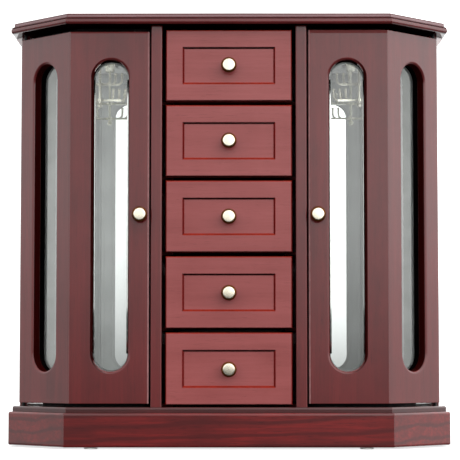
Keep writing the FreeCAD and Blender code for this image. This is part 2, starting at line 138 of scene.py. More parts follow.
def lacquer(name, tones, stretch, figure=1.0, coat_rough=0.16, coat=1.0, flame=0.0,
            edge_shading_tones=None, edge_reach=0.6 * MM, edge_share=0.55, rounded=True,
            specular=0.12, top_line=None, gloss_from=None):
    """Stained, lacquered cherry: cloudy stain, long grain, fine pores, and painted light and shade
    on its edges.

    tones: dark, middle and light stain; figure: strength of grain and pores; flame: share
    of the flat-sawn figure; edge_shading_tones: painted shade, painted highlight and painted
    light of edges that look down, sideways and up; top_line: (height, colour) of a line above
    that height; gloss_from: the clear coat starts at this distance from the armoire's middle."""
    dark, mid, light = tones
    g = Graph(name)
    here = g.place()
    grain_space = g.place(stretch)
    cloud = g.noise(here, 22.0, 3.0, 0.5)
    bands = g.noise(grain_space, 55.0, 4.0, 0.6, 0.35)
    streaks = g.noise(grain_space, 420.0, 3.0, 0.6)
    pores = g.noise(grain_space, 1900.0, 2.0, 0.6)
    colour = g.mix(g.spread(bands, 0.36, 0.66), dark, mid)
    colour = g.mix(g.spread(cloud, 0.3, 0.72, 0.0, 0.55), colour, light)
    if flame:
        slant = (0, 0.16, 0) if stretch == ALONG_X else (0.16, 0, 0)
        flat = g.place([max(0.3, v) for v in stretch], slant)
        rings = g.node("TexWave", {"Vector": flat, "Scale": 26.0, "Distortion": 4.0,
                                   "Detail": 2.0, "Detail Scale": 1.2},
                       bands_direction="Z").outputs["Fac"]
        colour = g.mix(g.spread(rings, 0.32, 0.04, 0.0, flame), colour, dark)
    colour = g.mix(g.spread(streaks, 0.40, 0.56, 0.0, 0.30 * figure), colour, dark)
    pits = g.spread(pores, 0.60, 0.70)
    colour = g.mix(g.math("MULTIPLY", pits, 0.35 * figure), colour, [c * 0.35 for c in dark])
    edge, soft_normal, upward = g.edges(edge_reach)
    # Edges get painted shade where they look down, a pale painted highlight where they look
    # sideways and painted light where they look up.
    below, beside, above = edge_shading_tones or EDGE_SHADING_TONES
    edge_light_colour = g.mix(g.spread(upward, 0.04, 0.14), beside, above)
    edge_light_colour = g.mix(g.spread(upward, -0.04, -0.14), edge_light_colour, below)
    colour = g.mix(g.math("MULTIPLY", edge, edge_share), colour, edge_light_colour)
    rough = g.spread(g.noise(here, 140.0, 3.0, 0.6), 0.3, 0.7, 0.34, 0.46)
    normal = g.bump(streaks, 0.10, 0.12 * MM, soft_normal if rounded else None)
    normal = g.bump(g.math("SUBTRACT", 1.0, pits), 0.12, 0.06 * MM, normal)
    gloss = g.math("MULTIPLY_ADD", edge, -0.9 * coat * edge_share, coat)
    position = g.node("SeparateXYZ", {0: here})
    if top_line:
        height, line_colour = top_line
        in_line = g.spread(position.outputs["Z"], height - LINE_SOFT, height + LINE_SOFT)
        colour = g.mix(in_line, colour, line_colour)
        gloss = g.math("MULTIPLY", gloss, g.spread(in_line, 0.0, 1.0, 1.0, 0.2))
    if gloss_from:
        distance = g.math("ABSOLUTE", position.outputs["X"])
        gloss = g.math("MULTIPLY", gloss, g.spread(distance, gloss_from, gloss_from + MM))
    inputs = {"Base Color": colour, "Roughness": rough, "Specular IOR Level": specular,
              "Normal": normal, "Coat Weight": gloss, "Coat Roughness": coat_rough,
              "Coat IOR": 1.5}
    if rounded:
        inputs["Coat Normal"] = soft_normal
    return g.finish(inputs)


def edge_shading_paint(name, colour):
    """Uneven matt colour without the clear coat, that paints light and shade onto edges and
    grooves.
    """
    g = Graph(name)
    here = g.place()
    patchiness = g.noise(here, 260.0, 3.0, 0.6, 0.4)
    tone = g.mix(g.spread(patchiness, 0.35, 0.7), [c * 0.8 for c in colour], [c * 1.15 for c in colour])
    rough = g.spread(patchiness, 0.3, 0.7, 0.45, 0.65)
    normal = g.bump(patchiness, 0.1, 0.05 * MM)
    return g.finish({"Base Color": tone, "Roughness": rough, "Specular IOR Level": 0.08,
                     "Normal": normal})


def velvet(name, colour, sheen=0.35):
    """Short pile: brushed patches, fibres and a soft sheen."""
    g = Graph(name)
    here = g.place()
    brushed = g.noise(here, 38.0, 3.0, 0.6, 0.6)
    pile = g.noise(here, 2600.0, 2.0, 0.7)
    shade = [c * 0.78 for c in colour]
    pale = [min(1.0, c * 1.22) for c in colour]
    tone = g.mix(g.spread(brushed, 0.3, 0.7), shade, colour)
    tone = g.mix(g.spread(pile, 0.35, 0.75, 0.0, 0.6), tone, pale)
    normal = g.bump(pile, 0.45, 0.25 * MM)
    normal = g.bump(brushed, 0.2, 0.8 * MM, normal)
    rough = g.spread(pile, 0.2, 0.8, 0.85, 1.0)
    return g.finish({"Base Color": tone, "Roughness": rough, "Specular IOR Level": 0.1,
                     "Sheen Weight": sheen, "Sheen Roughness": 0.4, "Normal": normal})


def felt(name, colour):
    """Tangled fibres without a direction."""
    g = Graph(name)
    here = g.place()
    tangle = g.noise(here, 1500.0, 4.0, 0.75, 1.5)
    tone = g.mix(g.spread(tangle, 0.3, 0.7), [c * 0.6 for c in colour], [c * 1.7 for c in colour])
    normal = g.bump(tangle, 0.7, 0.35 * MM)
    rough = g.spread(tangle, 0.2, 0.8, 0.9, 1.0)
    return g.finish({"Base Color": tone, "Roughness": rough, "Specular IOR Level": 0.08,
                     "Sheen Weight": 0.25, "Normal": normal})


def painted(name, colour, rough_low, rough_high, specular=0.3, grain=900.0):
    """Painted or moulded matt surface with fine orange peel and rubbed edges."""
    g = Graph(name)
    here = g.place()
    peel = g.noise(here, grain, 3.0, 0.6)
    dust = g.noise(here, 45.0, 3.0, 0.6)
    edge, soft_normal, _ = g.edges(0.5 * MM)
    tone = g.mix(g.spread(dust, 0.35, 0.75, 0.0, 0.5), colour, [c * 1.6 + 0.002 for c in colour])
    tone = g.mix(g.math("MULTIPLY", edge, 0.35), tone, [c * 2.5 + 0.01 for c in colour])
    normal = g.bump(peel, 0.15, 0.08 * MM, soft_normal)
    rough = g.spread(dust, 0.3, 0.7, rough_low, rough_high)
    return g.finish({"Base Color": tone, "Roughness": rough, "Specular IOR Level": specular,
                     "Normal": normal})


def metal(name, colour, tarnish, rough_low, rough_high):
    """Polished metal with faint tarnish and turning marks."""
    g = Graph(name)
    here = g.place()
    marks = g.noise(here, 2400.0, 2.0, 0.6)
    patina = g.noise(here, 160.0, 4.0, 0.6, 0.4)
    tone = g.mix(g.spread(patina, 0.45, 0.8, 0.0, 0.6), colour, tarnish)
    rough = g.spread(g.math("ADD", marks, patina), 0.7, 1.3, rough_low, rough_high)
    normal = g.bump(marks, 0.06, 0.03 * MM)
    return g.finish({"Base Color": tone, "Metallic": 1.0, "Roughness": rough, "Normal": normal})


def clear_glass(name):
    """Window glass: lets lamps through, bends and mirrors as glass does, faint smears."""
    g = Graph(name)
    smear = g.noise(g.place((1.0, 1.0, 0.4)), 60.0, 4.0, 0.6, 0.5)
    rough = g.spread(smear, 0.45, 0.75, 0.0, 0.03)
    tint = (0.965, 0.98, 0.972, 1.0)
    glass = g.node("BsdfPrincipled", {"Base Color": tint, "Roughness": rough, "IOR": 1.46,
                                      "Transmission Weight": 1.0})
    passing = g.node("BsdfTransparent", {"Color": tint})
    is_lamp_ray = g.node("LightPath").outputs["Is Shadow Ray"]
    both = g.node("MixShader", {0: is_lamp_ray, 1: glass.outputs[0], 2: passing.outputs[0]})
    output = g.node("OutputMaterial")
    g.tree.links.new(both.outputs[0], output.inputs["Surface"])
    return g.material


def silvered(name):
    """Mirror with a trace of haze."""
    g = Graph(name)
    haze = g.noise(g.place(), 35.0, 4.0, 0.6, 0.4)
    rough = g.spread(haze, 0.5, 0.8, 0.0, 0.02)
    tone = g.mix(g.spread(haze, 0.4, 0.8), (0.90, 0.92, 0.915), (0.86, 0.89, 0.88))
    return g.finish({"Base Color": tone, "Metallic": 1.0, "Roughness": rough})


DOOR_TONES = ((0.085, 0.0055, 0.006), (0.138, 0.0095, 0.010), (0.170, 0.0125, 0.0135))
# The drawers' stain is lighter and redder than the doors', with a painted pinkish-grey sheen in
# it.
DRAWER_TONES_WITH_SHEEN = ((0.260, 0.052, 0.050), (0.330, 0.075, 0.073), (0.375, 0.092, 0.090))
PLINTH_TONES = ((0.070, 0.0045, 0.005), (0.190, 0.0095, 0.009), (0.270, 0.0130, 0.012))
# The step's dark tones are painted shade, about a third as bright as the plinth's.
SHADED_STEP_TONES = ((0.034, 0.0030, 0.003), (0.060, 0.0050, 0.005), (0.080, 0.0075, 0.008))
# Pale pinkish grey: a painted highlight over the top board's cap.
CAP_HIGHLIGHT_TONES = ((0.190, 0.0900, 0.095), (0.240, 0.1200, 0.130), (0.270, 0.1400, 0.150))
TRAY_TONES = ((0.055, 0.007, 0.006), (0.085, 0.013, 0.011), (0.110, 0.020, 0.017))
# Dark painted shade for the walls of the windows and for the runners seen in the gaps between
# drawers.
SHADED_REVEAL_TONES = ((0.020, 0.0008, 0.0006), (0.030, 0.0012, 0.0010), (0.040, 0.0020, 0.0015))
# Near-black painted shade for the top board's underside and the top walls of the front windows.
UNDER_SHADE_TONES = ((0.006, 0.0008, 0.0008), (0.009, 0.0010, 0.0010), (0.012, 0.0014, 0.0014))
# Painted light and shade of lacquered edges: shade where they look down, a pale highlight where
# they look sideways, lit red where they look up.
EDGE_SHADING_TONES = ((0.100, 0.004, 0.003), (0.300, 0.150, 0.150), (0.220, 0.004, 0.003))
# Dark painted shade on all edges of the cap.
CAP_EDGE_SHADE_TONES = ((0.030, 0.001, 0.001), (0.080, 0.004, 0.004), (0.080, 0.004, 0.004))
# Painted shade below, red beside and orange painted light above, on a drawer front's edges.
DRAWER_EDGE_SHADING_TONES = ((0.025, 0.0005, 0.0005), (0.160, 0.004, 0.002), (0.280, 0.018, 0.006))
VELVET_GREY = (0.27, 0.275, 0.27)
# Red painted highlight along the doors' top edges; dark red painted shade along the top board's
# top.
TOP_HIGHLIGHT_RED, CAP_SHADE_RED = (0.130, 0.0025, 0.0020), (0.075, 0.010, 0.010)

board_low, board_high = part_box("top_board")
door_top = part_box("door_front_leaf_left")[1].z
SIDE_OVERHANG = 187.5 * MM      # from here outwards the top board's underside is glossy
# The painted lines reach down this far: dark red painted shade from the top board's top and a red
# painted highlight from the left door's top.
CAP_LINE, DOOR_LINE = 1.2 * MM, 1.3 * MM

MATERIALS = {
    # Its top line is a red painted highlight along the door's top edge.
    "cherry_leaf": lacquer("cherry_leaf", DOOR_TONES, ALONG_Z,
                           top_line=(door_top - DOOR_LINE, TOP_HIGHLIGHT_RED)),
    "cherry_upright": lacquer("cherry_upright", DOOR_TONES, ALONG_Z),
    "cherry_across": lacquer("cherry_across", DOOR_TONES, ALONG_X),
    "cherry_deep": lacquer("cherry_deep", DOOR_TONES, ALONG_Y),
    # Painted shade, side light and top light on the rounded edges of the drawer fronts.
    "line_painted_shade": edge_shading_paint("line_painted_shade", (0.020, 0.0004, 0.0004)),
    "line_painted_side_light": edge_shading_paint("line_painted_side_light", (0.130, 0.0020, 0.0015)),
    "line_painted_top_light": edge_shading_paint("line_painted_top_light", (0.260, 0.0140, 0.0050)),
    # Red painted highlight on the upward rounding of the doors' top edges.
    "top_edge_highlight": edge_shading_paint("top_edge_highlight", TOP_HIGHLIGHT_RED),
    # Pale painted highlight on the rounded free edge of a door.
    "free_edge_highlight": edge_shading_paint("free_edge_highlight", (0.300, 0.1500, 0.1500)),
    # Dark painted shadow in the groove of the top board's edge.
    "groove_shadow": edge_shading_paint("groove_shadow", (0.045, 0.0015, 0.0020)),
    # The cap's pale tones are a painted highlight; its edges and top line are painted shade.
    "cherry_cap_highlight": lacquer("cherry_cap_highlight", CAP_HIGHLIGHT_TONES, ALONG_X, 0.6, 0.2, 1.0,
                          edge_shading_tones=CAP_EDGE_SHADE_TONES, edge_reach=1.0 * MM, edge_share=0.9,
                          rounded=False,
                          top_line=(board_high.z - CAP_LINE, CAP_SHADE_RED)),
    # Its edges get painted shade below and painted light above.
    "drawer_cherry": lacquer("drawer_cherry", DRAWER_TONES_WITH_SHEEN, ALONG_X, 0.8, 0.22, 0.6,
                             edge_shading_tones=DRAWER_EDGE_SHADING_TONES, edge_reach=1.2 * MM,
                             edge_share=0.95, rounded=False),
    "plinth_cherry": lacquer("plinth_cherry", PLINTH_TONES, ALONG_X, 1.6, 0.12, flame=0.75),
    "plinth_cherry_deep": lacquer("plinth_cherry_deep", PLINTH_TONES, ALONG_Y, 1.6, 0.12,
                                  flame=0.6),
    # The step's darkness is painted shade.
    "shaded_step_cherry": lacquer("shaded_step_cherry", SHADED_STEP_TONES, ALONG_X, 1.2, 0.16),
    "tray_wood": lacquer("tray_wood", TRAY_TONES, ALONG_Y, 1.0, 0.4, 0.25),
    # Dark painted shade for window walls and drawer runners.
    "shaded_reveal_cherry": lacquer("shaded_reveal_cherry", SHADED_REVEAL_TONES, ALONG_Z, 1.0, 0.4, 0.05, specular=0.0),
    # Near-black painted shade: matt for window tops, glossy for the top board's underside.
    "under_shade": lacquer("under_shade", UNDER_SHADE_TONES, ALONG_X, 1.0, 0.5, 0.0, edge_share=0.0,
                           specular=0.0),
    "cherry_top": lacquer("cherry_top", DOOR_TONES, ALONG_X, 1.0, 0.35, 0.12, specular=0.05),
    "under_shade_gloss": lacquer("under_shade_gloss", UNDER_SHADE_TONES, ALONG_X, 1.0, 0.05, 1.0, edge_share=0.0,
                           rounded=False, specular=0.0, gloss_from=SIDE_OVERHANG),
    "black_liner": painted("black_liner", (0.0014, 0.0012, 0.0012), 0.55, 0.75, 0.0),
    "grey_velvet": velvet("grey_velvet", VELVET_GREY),
    "window_glass": clear_glass("window_glass"),
    "mirror": silvered("mirror"),
    "polished_face": metal("polished_face", (0.88, 0.82, 0.66), (0.82, 0.75, 0.58), 0.10, 0.2),
    "aged_brass": metal("aged_brass", (0.15, 0.050, 0.014), (0.07, 0.020, 0.005), 0.4, 0.55),
    "hook_metal": metal("hook_metal", (0.80, 0.78, 0.68), (0.62, 0.60, 0.50), 0.14, 0.3),
    "bead_metal": metal("bead_metal", (0.80, 0.82, 0.79), (0.70, 0.72, 0.69), 0.16, 0.3),
    "black_steel": metal("black_steel", (0.03, 0.03, 0.03), (0.02, 0.02, 0.02), 0.4, 0.6),
    "grey_plate": painted("grey_plate", VELVET_GREY, 0.6, 0.8, 0.1),
    "magnet_case": painted("magnet_case", (0.02, 0.02, 0.02), 0.45, 0.6),
    "felt": felt("felt", (0.012, 0.012, 0.013)),
    "pale_felt": felt("pale_felt", (0.55, 0.54, 0.52)),
}

NODE_MATERIALS = {
    "plinth_front": "plinth_cherry", "plinth_back": "plinth_cherry",
    "bottom_board": "shaded_step_cherry", "top_board": "cherry_across",
    # The runners seen in the drawer gaps get dark painted shade.
    "back_panel": "cherry_upright", "drawer_runners": "shaded_reveal_cherry",
    "catch_magnets": "magnet_case", "door_pins": "black_steel", "carousel_bushings": "hook_metal",
}
for side in SIDES:
    NODE_MATERIALS.update({
        "plinth_corner_" + side: "plinth_cherry", "plinth_side_" + side: "plinth_cherry_deep",
        "side_panel_" + side: "cherry_upright", "centre_wall_" + side: "cherry_upright",
        "mirror_" + side: "mirror", "crown_moulding_" + side: "cherry_deep",
        "door_front_leaf_" + side: "cherry_leaf", "door_corner_leaf_" + side: "cherry_upright",
        "door_liner_" + side: "black_liner", "door_glass_" + side: "window_glass",
        "door_strike_" + side: "black_steel", "carousel_" + side: "hook_metal",
    })
for number in DRAWERS:
    NODE_MATERIALS["drawer_front_%d" % number] = "drawer_cherry"
    NODE_MATERIALS["drawer_tray_%d" % number] = "tray_wood"


def paint(obj, *names):
    """Replaces the materials of a piece."""
    obj.data.materials.clear()
    for name in names:
        obj.data.materials.append(MATERIALS[name])


for node_name, material_name in NODE_MATERIALS.items():
    paint(nodes[node_name], material_name)


def paint_faces(node, material_name, chosen):
    """Gives the faces for which chosen(centre, normal) holds another finish."""
    obj = nodes[node]
    obj.data.materials.append(MATERIALS[material_name])
    for face in obj.data.polygons:
        if chosen(face.center, face.normal):
            face.material_index = len(obj.data.materials) - 1


FLAT = 0.97                     # a normal's share of an axis above which a face counts as flat
TILTED = 0.15                   # and above which a rounded edge belongs to that axis
FINE = 0.2 * MM                 # faces this close to a level lie in it
ROUNDING = 1.6 * MM             # the rounded edges of a door lie this close to its ends
CAP_HEIGHT, GROOVE_TOP = 3.4 * MM, 4.8 * MM     # both down from the top of the top board
WINDOW_RIM, WINDOW_END = 5 * MM, 12 * MM        # least wood beside and above a window
# Limits on the normals of a window's walls: along the leaf's outward direction, upwards on
# the upright walls, downwards on the top one, and towards the armoire's middle.
WALL_OUTWARD, WALL_UPRIGHT, WALL_TOP, WALL_TURNED_IN = 0.4, 0.35, 0.8, 0.08


def is_rounded(normal):
    """On the edge between a front face and the sides of its board."""
    return -0.98 < normal.y < -0.02


def paint_reveal(node, outward):
    """The walls of a window in a door leaf get dark painted shade, and the top wall of a front
    window near-black painted shade.
    """
    low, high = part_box(node)
    along = Vector((-outward.y, outward.x, 0))
    ends = sorted(v.co.dot(along) for v in nodes[node].data.vertices)
    is_front = abs(outward.x) < 0.1

    def wall(centre, normal):
        inside = ends[0] + WINDOW_RIM < centre.dot(along) < ends[-1] - WINDOW_RIM
        inside = inside and low.z + WINDOW_END < centre.z < high.z - WINDOW_END
        turned_in = is_front and -normal.x * centre.x > WALL_TURNED_IN * abs(centre.x)
        return inside and (abs(normal.dot(outward)) < WALL_OUTWARD or turned_in)

    paint_faces(node, "shaded_reveal_cherry",
                lambda c, n: wall(c, n) and (abs(n.z) < WALL_UPRIGHT or not is_front))
    paint_faces(node, "under_shade", lambda c, n: is_front and wall(c, n) and n.z < -WALL_TOP)


def paint_drawer_lines(node):
    """The rounded edges of a drawer front get painted light and shade: dark painted shade below,
    red beside, orange painted light above.
    """
    lines = {"line_painted_shade": lambda n: n.z < -TILTED and abs(n.z) > abs(n.x),
             "line_painted_side_light": lambda n: abs(n.x) > TILTED and abs(n.x) >= abs(n.z),
             "line_painted_top_light": lambda n: n.z > TILTED and n.z > abs(n.x)}
    for material, chosen in lines.items():
        paint_faces(node, material, lambda c, n: is_rounded(n) and chosen(n))


def paint_top_board():
    """Glossy underside in near-black painted shade, cap painted pale as a highlight with dark red
    painted shade on its top line and edges, calmer top face and painted shadow in the groove.
    """
    cap_z, groove_z = board_high.z - CAP_HEIGHT, board_high.z - GROOVE_TOP
    # The underside gets glossy near-black painted shade.
    paint_faces("top_board", "under_shade_gloss", lambda c, n: n.z < -0.9 and c.z < board_low.z + FINE)
    # The cap gets a pale painted highlight.
    paint_faces("top_board", "cherry_cap_highlight", lambda c, n: abs(n.z) < FLAT and c.z > cap_z + FINE / 4)
    paint_faces("top_board", "cherry_top", lambda c, n: n.z > FLAT and c.z > board_high.z - FINE)
    # The groove's faces get a painted shadow.
    paint_faces("top_board", "groove_shadow", lambda c, n: n.z < 0.95 and groove_z < c.z < cap_z)


def paint_door(side):
    """Painted shade on the window walls, a pale painted highlight on the free edge and a red
    painted highlight on the upper edges.
    """
    front, corner = "door_front_leaf_" + side, "door_corner_leaf_" + side
    low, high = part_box(front)
    free_edge = min(abs(low.x), abs(high.x))
    paint_reveal(front, Vector((0, -1, 0)))
    # The free edge's rounding gets a pale painted highlight.
    paint_faces(front, "free_edge_highlight",
                lambda c, n: abs(c.x) < free_edge + ROUNDING and -0.98 < n.y < -0.1)
    paint_faces("door_strike_" + side, "grey_plate", lambda c, n: n.y > 0.5)
    # The upward rounding of the upper edges gets a red painted highlight.
    for leaf in (front, corner):
        paint_faces(leaf, "top_edge_highlight",
                    lambda c, n: c.z > high.z - ROUNDING and TILTED < n.z < 0.98)
    paint_reveal(corner, Vector((SIGN[side], -1, 0)).normalized())


for number in DRAWERS:
    paint_drawer_lines("drawer_front_%d" % number)
paint_top_board()
paint_faces("catch_magnets", "grey_plate", lambda c, n: n.y > -0.5)
for side in SIDES:
    paint_door(side)


# ---------------------------------------------------------------- mesh helpers

def new_piece(name, verts, faces, body, materials, face_materials=None):
    """Smooth mesh piece that rides a body; face_materials holds one material index a face."""
    mesh = bpy.data.meshes.new(name)
    mesh.from_pydata([tuple(v) for v in verts], [], faces)
    mesh.validate()
    mesh.polygons.foreach_set("use_smooth", [True] * len(mesh.polygons))
    obj = bpy.data.objects.new(name, mesh)
    bpy.context.scene.collection.objects.link(obj)
    paint(obj, *materials)
    if face_materials:
        mesh.polygons.foreach_set("material_index", face_materials)
    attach(obj, body)
    return obj


def loft(rings, cap_start=False, cap_end=False, loop=False):
    """Quads between rings of the same number of points. Returns verts, faces."""
    count = len(rings[0])
    verts = [point for ring in rings for point in ring]
    faces = []
    spans = len(rings) if loop else len(rings) - 1
    for k in range(spans):
        a, b = k * count, (k + 1) % len(rings) * count
        for i in range(count):
            j = (i + 1) % count
            faces.append((a + i, a + j, b + j, b + i))
    if cap_start:
        faces.append(tuple(reversed(range(count))))
    if cap_end:
        last = (len(rings) - 1) * count
        faces.append(tuple(last + i for i in range(count)))
    return verts, faces


def smooth_profile(points, steps=4):
    """Catmull-Rom curve through the points of a profile."""
    out = []
    for k in range(len(points) - 1):
        p0, p1 = points[max(k - 1, 0)], points[k]
        p2, p3 = points[k + 1], points[min(k + 2, len(points) - 1)]
        for s in range(steps):
            t = s / steps
            out.append(tuple(
                0.5 * (2 * b + (c - a) * t + (2 * a - 5 * b + 4 * c - d) * t ** 2
                       + (3 * b - a - 3 * c + d) * t ** 3)
                for a, b, c, d in zip(p0, p1, p2, p3)))
    out.append(points[-1])
    return out


def turned(profile, centre, axis, segments=48):
    """Rings round an axis through centre; profile is (radius, distance along the axis)."""
    rings = []
    for radius, along in profile:
        ring = []
        for i in range(segments):
            angle = 2 * math.pi * i / segments
            a, b = radius * math.cos(angle), radius * math.sin(angle)
            offset = (a, along, b) if axis == "y" else (a, b, along)
            ring.append(Vector(centre) + Vector(offset))
        rings.append(ring)
    return rings


# ---------------------------------------------------------------- knobs

# Profiles of a knob: (radius, distance from its base) in mm, from the face to the base.
KNOB_FACE = [(0.02, -10.0), (2.6, -9.98), (4.6, -9.93), (5.2, -9.9)]
KNOB_HEAD = [(5.35, -9.85), (5.6, -9.35), (5.95, -9.25), (6.5, -8.8), (6.85, -8.25),
             (6.85, -7.6), (6.35, -6.9), (4.3, -6.1), (3.1, -4.9), (2.9, -3.4), (3.1, -1.9),
             (4.1, -1.0), (4.4, -0.45), (4.4, 0.0)]
KNOB_OUT = 10.0 * MM
SHANK_R = 2.0 * MM
SCREW_HEAD_R, SCREW_HEAD_T = 3.4 * MM, 1.6 * MM
SCREW_CHAMFER, SCREW_RECESS_R = 0.5 * MM, 0.9 * MM


def knob(node, body):
    """Turned knob: polished face in an aged brass rim, neck, base and its screw."""
    low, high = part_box(node)
    centre = ((low.x + high.x) / 2, 0.0, (low.z + high.z) / 2)
    base = low.y + KNOB_OUT
    disc = [(r * MM, base + d * MM) for r, d in KNOB_FACE]
    head = [(r * MM, base + d * MM) for r, d in smooth_profile(KNOB_HEAD, 3)]
    tail = [(SHANK_R, base), (SHANK_R, high.y - SCREW_HEAD_T),
            (SCREW_HEAD_R, high.y - SCREW_HEAD_T), (SCREW_HEAD_R, high.y - SCREW_CHAMFER),
            (SCREW_HEAD_R - 0.6 * MM, high.y), (SCREW_RECESS_R, high.y)]
    rings = turned(disc + head + tail, centre, "y")
    verts, faces = loft(rings, cap_start=True, cap_end=True)
    per_ring = len(rings[0])
    material_of = [0 if i < (len(disc) - 1) * per_ring else 1 for i in range(len(faces))]
    material_of[-2:] = [0, 1]
    obj = new_piece(node.replace("knob", "turned_knob"), verts, faces, body,
                    ("polished_face", "aged_brass"), material_of)
    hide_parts(node)


for number in DRAWERS:
    knob("drawer_knob_%d" % number, "drawer_%d" % number)
for side in SIDES:
    knob("door_knob_" + side, "door_" + side)


# ---------------------------------------------------------------- velvet pieces

def outline_points(corners, per_edge, radius, corner_steps=5):
    """A closed convex outline with rounded corners, in 2-D, with even points per edge."""
    points = []
    count = len(corners)
    for i in range(count):
        prev, here, after = (Vector(corners[(i + k) % count]) for k in (-1, 0, 1))
        into, out = (here - prev).normalized(), (after - here).normalized()
        turn = into.angle(out)
        cut = radius * math.tan(turn / 2)
        start, end = here - into * cut, here + out * cut
        bisector = (out - into).normalized()
        middle = here + bisector * (radius / math.cos(turn / 2))
        for s in range(corner_steps + 1):
            t = s / corner_steps
            arm = (start - middle).lerp(end - middle, t).normalized() * radius
            points.append(middle + arm)
        far_turn = out.angle((Vector(corners[(i + 2) % count]) - after).normalized())
        far = after - out * (radius * math.tan(far_turn / 2))
        for s in range(1, per_edge):
            points.append(end.lerp(far, s / per_edge))
    return points


def inset(corners, distance):
    """Moves each side of a convex, counter-clockwise polygon inwards."""
    out = []
    count = len(corners)
    for i in range(count):
        prev, here, after = (Vector(corners[(i + k) % count]) for k in (-1, 0, 1))
        into, onward = (here - prev).normalized(), (after - here).normalized()
        bisector = (onward - into).normalized()
        turn = into.angle(onward)
        out.append(here + bisector * (distance / math.cos(turn / 2)))
    return out


PAD_EDGE = [(0.0, 0.35), (0.12, 0.72), (0.4, 0.95), (0.9, 1.0)]   # mm inwards, thickness share
SEAM = [(2.4, 1.0), (2.9, 0.6), (3.4, 1.0)]                        # the stitched channel


def on_plane(axes, point, height):
    """The place of a 2-D point on a plane, raised along its normal."""
    origin, along_u, along_v, normal = axes
    return origin + along_u * point[0] + along_v * point[1] + normal * height


PANEL_CORNER = 0.4 * MM
POINTS_PER_SIDE = 24
CROWN_STEPS = (0.25, 0.5, 0.75, 1.0)


def panel(name, body, corners, axes, thick, puff=0.0, replaces=()):
    """Velvet panel on a flat board: rounded rim, a stitched channel, slightly crowned."""
    spans = [max(c[k] for c in corners) - min(c[k] for c in corners) for k in (0, 1)]
    steps = [(PANEL_CORNER, 0.0)]
    steps += [(inward * MM, share * thick) for inward, share in PAD_EDGE + SEAM]
    deep = min(spans) * 0.5 - 1.5 * MM
    for share in CROWN_STEPS:
        inward = SEAM[-1][0] * MM
        inward += (deep - inward) * share
        steps.append((inward, thick + puff * math.sin(math.pi / 2 * share)))
    rings = []
    for inward, height in steps:
        ring = outline_points(inset(corners, inward), POINTS_PER_SIDE, PANEL_CORNER)
        rings.append([on_plane(axes, p, height) for p in ring])
    verts, faces = loft(rings, cap_start=True, cap_end=True)
    obj = new_piece(name, verts, faces, body, ("grey_velvet",))
    if replaces:
        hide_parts(*replaces)
    return obj


MIRROR_SHOWN = 137 * MM         # the mirror shows up to here, from the armoire's middle
WALL_VELVET_T, CEILING_VELVET_T = 0.8 * MM, 0.7 * MM
PAD_T, PAD_PUFF = 1.55 * MM, 0.45 * MM
CLEAR = 0.3 * MM                # between two velvet pieces
MIRROR_CLEAR = 0.5 * MM
SEEN_WALL = 26 * MM             # the front of a centre wall is left bare up to here


def wall_panels(side):
    """Velvet on the two walls of a compartment and over the outer edge of its mirror."""
    thick = WALL_VELVET_T
    pad_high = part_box("floor_pad_" + side)[1]
    wall_low, wall_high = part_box("side_panel_" + side)
    centre_low, centre_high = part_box("centre_wall_" + side)
    floor, height = pad_high.z + CLEAR, wall_high.z - pad_high.z - 1.5 * MM
    mirror_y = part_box("mirror_" + side)[0].y
    back = mirror_y - MIRROR_CLEAR
    outer_x = wall_high.x if side == "left" else wall_low.x
    inner_x = centre_low.x if side == "left" else centre_high.x
    up, deep, across = Vector((0, 0, 1)), Vector((0, 1, 0)), Vector((SIGN[side], 0, 0))
    for name, x, front, normal in (("side", outer_x, wall_low.y + 1.5 * MM, -across),
                                   ("centre", inner_x, centre_low.y + SEEN_WALL, across)):
        corners = [(0, 0), (back - front, 0), (back - front, height), (0, height)]
        panel("velvet_%s_wall_%s" % (name, side), "cabinet", corners,
              (Vector((x, front, floor)), deep, up, normal), thick)
    start, end = MIRROR_SHOWN, abs(outer_x) - thick - CLEAR
    corners = [(start, 0), (end, 0), (end, height), (start, height)]
    panel("velvet_mirror_border_" + side, "cabinet", corners,
          (Vector((0, mirror_y, floor)), across, up, Vector((0, -1, 0))), thick)


def floor_pad(side):
    """Crowned velvet pad on the floor of a compartment, in the outline of its CAD solid,
    and thin velvet in the same outline on the ceiling."""
    node = "floor_pad_" + side
    low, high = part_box(node)
    upper = [v.co for v in nodes[node].data.vertices if v.co.z > high.z - 0.1 * MM]
    seen = sorted({(round(p.x, 5), round(p.y, 5)) for p in upper})
    middle = (sum(p[0] for p in seen) / len(seen), sum(p[1] for p in seen) / len(seen))
    corners = sorted(seen, key=lambda p: math.atan2(p[1] - middle[1], p[0] - middle[0]))
    axes = (Vector((0, 0, low.z)), Vector((1, 0, 0)), Vector((0, 1, 0)), Vector((0, 0, 1)))
    panel("velvet_pad_" + side, "cabinet", corners, axes, PAD_T, PAD_PUFF, (node,))
    ceiling = Vector((0, 0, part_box("top_board")[0].z))
    axes = (ceiling, Vector((0, 1, 0)), Vector((1, 0, 0)), Vector((0, 0, -1)))
    corners = [(p[1], p[0]) for p in reversed(corners)]
    panel("velvet_ceiling_" + side, "cabinet", corners, axes, CEILING_VELVET_T)


# Plan of a door, measured from its fold and from its outer face.
LINER_DEPTH = 16 * MM           # wood and liner together, up to the velvet
GLASS_FRONT = 13.5 * MM
FRONT_WINDOW = 105.2 * MM       # centre of the front window from the armoire's middle
CORNER_WINDOW = 35.2 * MM       # centre of the corner window from the fold
WINDOW_R = 15.8 * MM
WINDOW_LOW, WINDOW_HIGH = 68.1 * MM, 345.5 * MM
CORNER_LINING_END = 62 * MM     # along the corner leaf from the fold
DOOR_VELVET_T, GLASS_LAP = 1.0 * MM, 1.2 * MM
MITRE = math.tan(math.radians(22.5))


